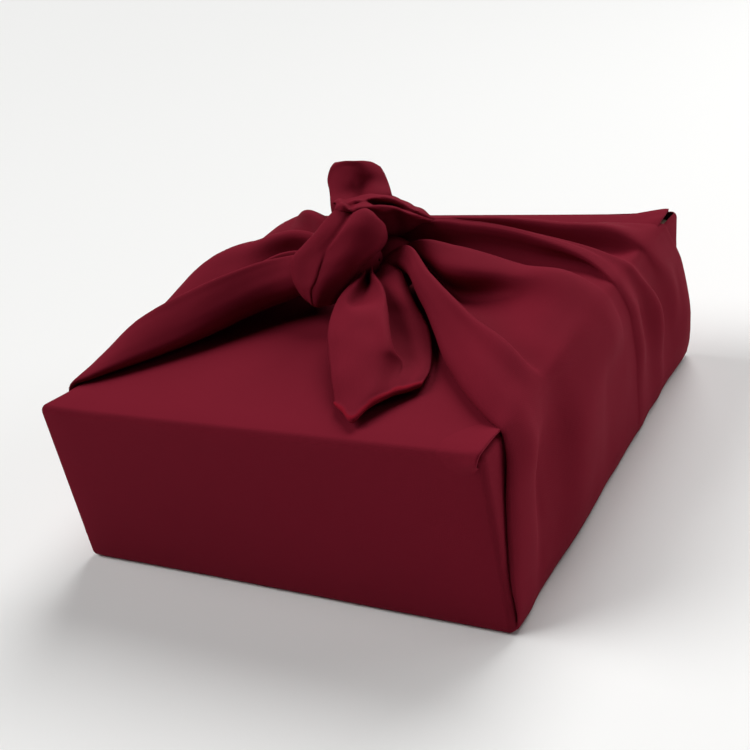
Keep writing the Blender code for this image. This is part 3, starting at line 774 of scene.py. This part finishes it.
    def back_flap(self) -> Patch:
        """The lower flap: it leaves the back edge and lies under the front flap.

        Returns:
            The patch.
        """
        s, middle = self.size, (self.back_flap_lines - 1) / 2
        upper, lower = s.height - self.finish.cloth / 2, s.height - self.back_flap_drop
        # The flap's section, from the back edge to its tip: y and height, in metres.
        profile = [(.1300, upper - .0002), (.1240, upper), (.1160, upper), (.1085, lower),
                   (.06, lower), (s.back_flap_full, lower), (s.back_flap_tip, lower)]
        wide = s.width / 2 - s.edge_radius
        halves = [s.back_flap_tip_half if y == s.back_flap_tip else wide for y, _ in profile]
        lines = np.array([[((k / middle - 1) * half, y, z) for half, (y, z) in zip(halves, profile)]
                          for k in range(self.back_flap_lines)])
        patch = Patch("back flap", Guide.surface(lines, self.flap_step, self.back_flap_most))
        patch.hem_end(self.finish, self.back_flap_hem)
        return patch


@dataclass
class Ear:
    """One gathered side of the cloth, from the floor over the side and up into the tie."""

    side: Side
    table: Table
    size: WrapSize = WrapSize()
    mesh_step: float = 0.0023
    most: tuple[int, int] = (9, 7)
    ripples: tuple[Ripple, ...] = (Ripple(0.0004, 0.022, 2.0), Ripple(0.00012, 0.007, 5.0))

    def fold(self, row: Row) -> np.ndarray:
        """Points along one fold, from the heart of the knot to the foot of the side.

        Args:
            row: the fold's row of the table.

        Returns:
            The points, in metres.
        """
        r = dict(zip(EAR_COLUMNS, row, strict=True))
        top, wall = self.size.height / MM, self.size.side_sheet / MM
        out, low = r["corner_out"], r["low_out"]
        points = [
            (EAR_X["core"], .85 * r["knot_y"] + CORE_Y[self.side], top + .8 * r["knot_z"]),
            *((EAR_X[at], r[f"{at}_y"], top + r[f"{at}_z"]) for at in ("knot", "near", "mid", "edge")),
            (EAR_X["corner"] + .35 * out, r["corner_y"], top + .35 * out),
            (wall + .85 * out, .78 * r["corner_y"] + .22 * r["high_y"], top - 8),
            (wall + r["high_out"], r["high_y"], SIDE_Z["high"]),
            (wall + low, r["low_y"], SIDE_Z["low"]),
            (wall - .4 + .4 * low, r["foot_y"], SIDE_Z["foot"]),
            (wall - 1.6 + .3 * low, r["foot_y"], SIDE_Z["turn"])]
        return np.array([(self.side.value * x, y, z) for x, y, z in points]) * MM

    def patch(self) -> Patch:
        """The ear's surface, swollen at the corners and softly uneven.

        Returns:
            The patch.
        """
        lines = np.array([self.fold(row) for row in self.table])
        made = Patch(f"{self.side.name.lower()} ear", Guide.surface(lines, self.mesh_step, self.most),
                     turn=self.side is Side.RIGHT)
        made.points = made.points + np.array([
            corner_swell(Vector(p), self.size) for p in made.points.reshape(-1, 3)
        ]).reshape(made.points.shape)
        for ripple in self.ripples:
            made.ripple(replace(ripple, seed=ripple.seed + self.side.value))
        return made


@dataclass(frozen=True)
class TiePart:
    """One part of the tie: its guide table, mesh step in metres, unevenness and hem."""

    name: str
    columns: tuple[str, ...]
    table: Table
    step: float
    ripple: Ripple
    hemmed: bool = False

    def patch(self, size: WrapSize, finish: SheetFinish) -> Patch:
        """The part's surface.

        Args:
            size: sizes of the wrapped box.
            finish: the hem's width.

        Returns:
            The patch.
        """
        made = guided(self.name, self.columns, self.table, size.height, self.step)
        made.ripple(self.ripple)
        if self.hemmed:
            made.hem_end(finish)
        return made


@dataclass(frozen=True)
class Bundle:
    """Cloth rolled up and pressed together inside the knot.

    centre and half, the half sizes, are in millimetres, heights above the lid. twist is the
    roll's turn along its length, in radians. The sheet goes round by turns, each tighter
    than the last, and leaves a small mouth at both ends.
    """

    name: str
    centre: Point
    half: Point
    twist: float
    turns: float = 1.6
    around: int = 60
    along: int = 26
    mouth: float = 0.06
    tighter: float = 0.06
    uneven: float = 0.05

    def patch(self, lid: float) -> Patch:
        """Roll the sheet up.

        Args:
            lid: height of the lid, in metres.

        Returns:
            The patch.
        """
        turns = np.linspace(0, 2 * math.pi * self.turns, self.around)
        ends = np.linspace(self.mouth, math.pi - self.mouth, self.along)
        points = np.zeros((self.around, self.along, 3))
        for i, a in enumerate(turns):
            for j, b in enumerate(ends):
                tight = 1 - self.tighter * a / (2 * math.pi)
                r = math.sin(b) * tight * (1 + self.uneven * math.sin(3 * a + 2 * b))
                angle = a + self.twist * b
                points[i, j] = (-math.cos(b), r * math.cos(angle), r * math.sin(angle))
        points = (points * self.half + np.array(self.centre)) * MM
        points[:, :, 2] += lid
        return Patch(self.name, points)


TIE_PARTS = (
    TiePart("band", BAND_COLUMNS, KNOT_BAND, 0.0014, Ripple(0.0004, 0.012, 11.0)),
    TiePart("ridge", RIDGE_COLUMNS, TOP_RIDGE, 0.0013, Ripple(0.0012, 0.008, 4.0)),
    TiePart("front tail", TAIL_COLUMNS, FRONT_TAIL, 0.0014, Ripple(0.0005, 0.018, 7.0), True),
    TiePart("back tail", BACK_COLUMNS, BACK_TAIL, 0.0014, Ripple(0.0004, 0.018, 9.0), True),
)
BUNDLES = (
    Bundle("bundle under the band", (-9, -1, 27), (18, 15, 14), 0.4),
    Bundle("bundle under the ridge", (4, 18, 16), (16, 20, 15), 1.3),
)


@dataclass
class Tie:
    """The knot: its band, its crumpled ridge, the rolled cloth inside and the two tails."""

    size: WrapSize = WrapSize()
    finish: SheetFinish = SheetFinish()

    def build(self, cloth: ClothMesh) -> None:
        """Lay the band, the ridge, the tails and the bundles.

        Args:
            cloth: the cloth's mesh.
        """
        for part in TIE_PARTS:
            cloth.add(part.patch(self.size, self.finish))
        for bundle in BUNDLES:
            cloth.add(bundle.patch(self.size.height))


class Socket:
    """A shader socket that can be used in sums."""

    def __init__(self, nodes: "Nodes", socket: bpy.types.NodeSocket) -> None:
        """Wrap one output socket."""
        self.nodes, self.socket = nodes, socket

    def _with(self, operation: str, a: Any, b: Any) -> "Socket":
        """Add one Math node."""
        return self.nodes.add("ShaderNodeMath", {"operation": operation}, {0: a, 1: b})

    def __add__(self, other: Any) -> "Socket":
        """Sum."""
        return self._with("ADD", self, other)

    def __mul__(self, other: Any) -> "Socket":
        """Product."""
        return self._with("MULTIPLY", self, other)

    __radd__, __rmul__ = __add__, __mul__


class Nodes:
    """Adds nodes to one material."""

    def __init__(self, name: str) -> None:
        """Make a material.

        Args:
            name: the material's name.
        """
        self.material = bpy.data.materials.new(name)
        self.material.use_nodes = True
        self.tree = self.material.node_tree
        self.shader = self.tree.nodes["Principled BSDF"]

    def add(self, kind: str, settings: dict[str, Any] | None = None,
            sockets: dict[Any, Any] | None = None, output: Any = 0) -> Socket:
        """Add a node.

        Args:
            kind: the node's type.
            settings: its own settings.
            sockets: its inputs, as for fill.
            output: which output is returned.

        Returns:
            The chosen output.
        """
        node = self.tree.nodes.new(kind)
        for name, value in (settings or {}).items():
            setattr(node, name, value)
        self.fill(node, sockets or {})
        return Socket(self, node.outputs[output])

    def fill(self, node: bpy.types.Node, sockets: dict[Any, Any]) -> None:
        """Set or link a node's inputs.

        Args:
            node: the node.
            sockets: values or links for its inputs, by name or number.
        """
        for name, value in sockets.items():
            if isinstance(value, Socket):
                self.tree.links.new(value.socket, node.inputs[name])
            else:
                node.inputs[name].default_value = value

    def mix(self, factor: Any, a: Any, b: Any) -> Socket:
        """Mix two colours."""
        return self.add("ShaderNodeMix", {"data_type": "RGBA"}, {0: factor, 6: a, 7: b}, 2)


@dataclass(frozen=True)
class BurgundyWeave:
    """A fine plain weave with a soft sheen and a painted highlight along the hem; lengths in metres."""

    colour: Point = (0.158, 0.0085, 0.0195)
    light: Point = (0.182, 0.0105, 0.0235)
    # hem: the rolled hem is drawn lighter and redder than the cloth, a painted highlight on the hem.
    hem: Point = (0.235, 0.0045, 0.0150)
    hem_highlight_share: float = 0.75
    thread: float = 0.00042
    relief: float = 0.0002
    relief_strength: float = 0.22
    cloud_scale: float = 26.0
    slub_scale: Point = (90.0, 1400.0, 1.0)
    cloud_share: float = 0.5
    slub_share: float = 0.35
    slub_relief: float = 0.5
    roughness: float = 0.78
    uneven: float = 0.10
    specular: float = 0.02
    sheen: float = 0.03
    sheen_roughness: float = 0.45
    sheen_tint: Point = (0.90, 0.14, 0.22)

    def material(self) -> bpy.types.Material:
        """Make the cloth's material.

        Returns:
            The material.
        """
        nodes = Nodes("burgundy cloth")
        place = nodes.add("ShaderNodeUVMap", {"uv_map": "weave"})
        body = nodes.add("ShaderNodeTexCoord", output="Object")
        cloudy = nodes.add("ShaderNodeTexNoise", None,
                           {"Vector": body, "Scale": self.cloud_scale, "Detail": 3.0})
        along = nodes.add("ShaderNodeMapping", None, {"Vector": place, "Scale": self.slub_scale})
        slub = nodes.add("ShaderNodeTexNoise", None, {"Vector": along, "Scale": 1.0, "Detail": 2.0})
        weave = self.threads(nodes, place, "X") * self.threads(nodes, place, "Y")
        patchy = cloudy * self.cloud_share + slub * self.slub_share
        shade = nodes.mix(patchy, (*self.colour, 1), (*self.light, 1))
        # The hem's mask mixes in the lighter, redder hem colour: a painted highlight along the rolled
        # hem.
        rim = nodes.add("ShaderNodeAttribute", {"attribute_name": "hem"}, output="Fac")
        shade = nodes.mix(rim * self.hem_highlight_share, shade, (*self.hem, 1))
        rough = self.roughness - self.uneven / 2 + self.uneven * cloudy
        bump = nodes.add("ShaderNodeBump", None, {
            "Strength": self.relief_strength, "Distance": self.relief,
            "Height": weave + slub * self.slub_relief})
        nodes.fill(nodes.shader, {
            "Base Color": shade, "Roughness": rough, "Normal": bump,
            "Specular IOR Level": self.specular, "Sheen Weight": self.sheen,
            "Sheen Roughness": self.sheen_roughness, "Sheen Tint": (*self.sheen_tint, 1)})
        return nodes.material

    def threads(self, nodes: Nodes, place: Socket, direction: str) -> Socket:
        """Rounded threads side by side in one direction.

        Args:
            nodes: the material's nodes.
            place: the place on the flat cloth.
            direction: X or Y. A wave texture's wave turns by 20 radians over one unit.

        Returns:
            The threads' height.
        """
        settings = {"wave_type": "BANDS", "bands_direction": direction, "wave_profile": "SIN"}
        scale = 1 / self.thread / 20 * math.pi
        return nodes.add("ShaderNodeTexWave", settings,
                         {"Vector": place, "Scale": scale, "Distortion": 0.0}, "Fac")


@dataclass(frozen=True)
class PlainBoard:
    """Uncoated card board with short fibres."""

    colour: Point = (0.62, 0.50, 0.36)
    dark_share: float = 0.82
    fibre_scale: float = 420.0
    fibre_share: float = 0.6
    cloud_scale: float = 18.0
    relief: float = 0.0002
    relief_strength: float = 0.3
    roughness: float = 0.85

    def dress(self, node: bpy.types.Object) -> None:
        """Give the box its material.

        Args:
            node: the box.
        """
        nodes = Nodes("plain board")
        body = nodes.add("ShaderNodeTexCoord", output="Object")
        fibre = nodes.add("ShaderNodeTexNoise", None,
                          {"Vector": body, "Scale": self.fibre_scale, "Detail": 4.0})
        cloudy = nodes.add("ShaderNodeTexNoise", None, {"Vector": body, "Scale": self.cloud_scale})
        dark = tuple(c * self.dark_share for c in self.colour)
        patchy = fibre * self.fibre_share + cloudy * (1 - self.fibre_share)
        shade = nodes.mix(patchy, (*dark, 1), (*self.colour, 1))
        bump = nodes.add("ShaderNodeBump", None, {
            "Strength": self.relief_strength, "Distance": self.relief, "Height": fibre})
        nodes.fill(nodes.shader, {"Base Color": shade, "Normal": bump, "Roughness": self.roughness})
        for slot in node.material_slots:
            slot.material = nodes.material


@dataclass(frozen=True)
class Lamp:
    """One light of the studio, in metres.

    A window's place is the direction to it, and its size is how wide it looks, in radians.
    """

    name: str
    kind: LampKind
    place: Point
    size: float
    power: float
    aim: Point = (0, 0, 0.08)

    def hang(self) -> None:
        """Put the lamp in the scene."""
        data = bpy.data.lights.new(self.name, self.kind.value)
        data.energy = self.power
        lamp = placed(self.name, data)
        if self.kind is LampKind.WINDOW:
            data.angle, way = self.size, -Vector(self.place)
        else:
            data.size, way = self.size, Vector(self.aim) - Vector(self.place)
            lamp.location = self.place
        lamp.rotation_euler = way.to_track_quat("-Z", "Y").to_euler()


LAMPS = (
    Lamp("back window", LampKind.WINDOW, (0.0, 1.15, 1.15), 0.7, 2.35),
    Lamp("left window", LampKind.WINDOW, (-1.08, -0.39, 1.15), 0.7, 2.0),
    Lamp("right light", LampKind.SOFT_BOX, (1.20, 0.95, 0.38), 1.1, 10.2),
)


@dataclass
class Studio:
    """The camera, the pale floor and the soft light. turn is yaw, tip down and roll, in degrees."""

    place: Point = (0.32771, -0.49284, 0.34201)
    turn: Point = (34.42, 26.07, -12.45)
    lens: float = 56.41
    sensor: float = 36.0
    floor_size: float = 8.0
    floor_colour: Point = (0.86, 0.86, 0.85)
    floor_roughness: float = 0.9
    room_light: float = 0.03

    def build(self) -> None:
        """Set up the camera, the floor and the light, with colours shown as they are."""
        bpy.context.scene.view_settings.view_transform = "Standard"
        self.camera()
        self.floor()
        for lamp in LAMPS:
            lamp.hang()
        world = bpy.data.worlds.new("soft room")
        bpy.context.scene.world = world
        world.use_nodes = True
        background = world.node_tree.nodes["Background"]
        background.inputs["Color"].default_value = (1, 1, 1, 1)
        background.inputs["Strength"].default_value = self.room_light

    def camera(self) -> None:
        """Place the camera: turned, tipped down and rolled."""
        yaw, pitch, roll = (math.radians(a) for a in self.turn)
        level = math.cos(pitch)
        ahead = Vector((-math.sin(yaw) * level, math.cos(yaw) * level, -math.sin(pitch)))
        right = Vector((math.cos(yaw), math.sin(yaw), 0))
        up = right.cross(ahead)
        across = right * math.cos(roll) + up * math.sin(roll)
        upright = up * math.cos(roll) - right * math.sin(roll)
        pose = Matrix((across, upright, -ahead)).transposed().to_4x4()
        pose.translation = Vector(self.place)
        data = bpy.data.cameras.new("camera")
        data.lens, data.sensor_width = self.lens, self.sensor
        data.clip_start, data.clip_end = 0.01, 50.0
        camera = placed("camera", data)
        camera.matrix_world = pose
        bpy.context.scene.camera = camera

    def floor(self) -> None:
        """A plain pale floor."""
        bm = bmesh.new()
        bmesh.ops.create_grid(bm, x_segments=1, y_segments=1, size=self.floor_size)
        mesh = bpy.data.meshes.new("floor")
        bm.to_mesh(mesh)
        bm.free()
        floor = placed("floor", mesh)
        nodes = Nodes("pale floor")
        nodes.fill(nodes.shader, {"Base Color": (*self.floor_colour, 1),
                                  "Roughness": self.floor_roughness})
        mesh.materials.append(nodes.material)


def main() -> None:
    """Build the studio and the wrap, and declare its pieces."""
    logging.basicConfig(level=logging.INFO, format="%(name)s: %(message)s")
    Studio().build()
    cloth = ClothMesh("tied_cloth", SheetFinish())
    Wrap().build(cloth)
    for ear in (Ear(Side.RIGHT, RIGHT_EAR), Ear(Side.LEFT, LEFT_EAR)):
        cloth.add(ear.patch())
    Tie().build(cloth)
    piece = cloth.finished(BurgundyWeave().material())
    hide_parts("furoshiki_cloth")
    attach(piece, "root")
    PlainBoard().dress(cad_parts["wrapped_box"])
    log.info("tied cloth: %d faces before its thickness", len(piece.data.polygons))


if __name__ == "__main__":
    main()
